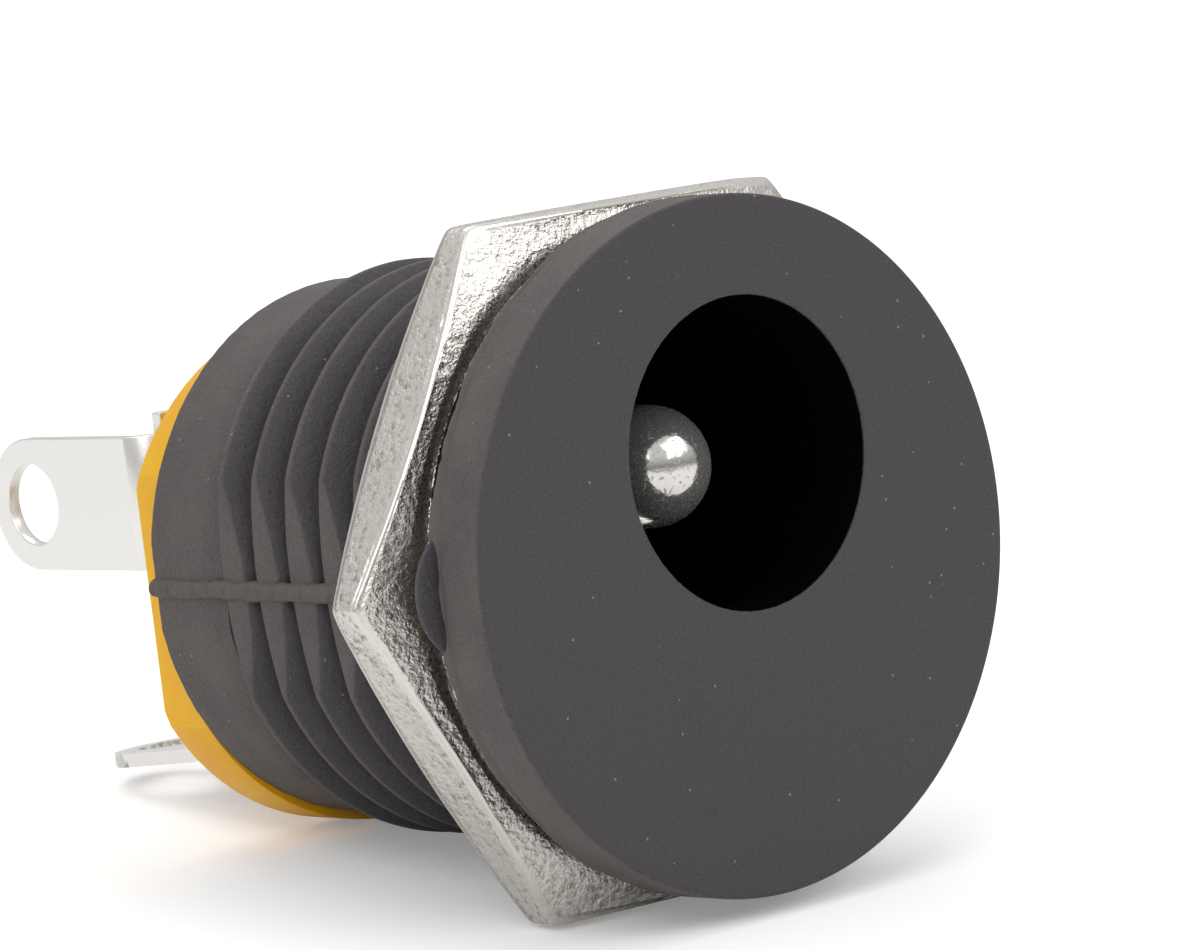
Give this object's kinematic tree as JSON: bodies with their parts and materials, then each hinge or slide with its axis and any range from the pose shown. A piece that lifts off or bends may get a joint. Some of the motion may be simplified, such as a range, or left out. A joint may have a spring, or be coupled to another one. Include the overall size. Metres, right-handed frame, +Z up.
{
  "type": "panel-mount dc barrel jack",
  "caption": "Round threaded panel jack for a dc barrel plug, with an offset socket round a centre pin, a hex nut, a rear insulator and solder lugs.",
  "frame": {"origin": "centre of the flange's seat against the panel, on the thread's axis", "axes": "-Y towards the plug, +Y along the thread towards the solder lugs, +Z up, the side on which the socket is offset from the thread's axis, +X to the right seen from the front"},
  "size_m": [0.0162, 0.0201, 0.014],
  "materials": {
    "moulded_black": "matte moulded",
    "nickel_plate": "nickel plate on brass",
    "amber_resin": "translucent amber",
    "tinned_sheet": "tinned brass sheet"
  },
  "bodies": {
    "jack": {"housing": "moulded_black", "insulator": "amber_resin", "centre_pin": "nickel_plate", "pin_lug": "tinned_sheet", "sleeve_spring": "tinned_sheet", "switch_contact": "tinned_sheet"},
    "nut": {"hex_nut": "nickel_plate"}
  },
  "joints": [
    {"name": "nut_run", "type": "slide", "parent": "jack", "child": "nut", "axis": [0, 1, 0], "range_m": [-0.0009, 0.0048]}
  ]
}
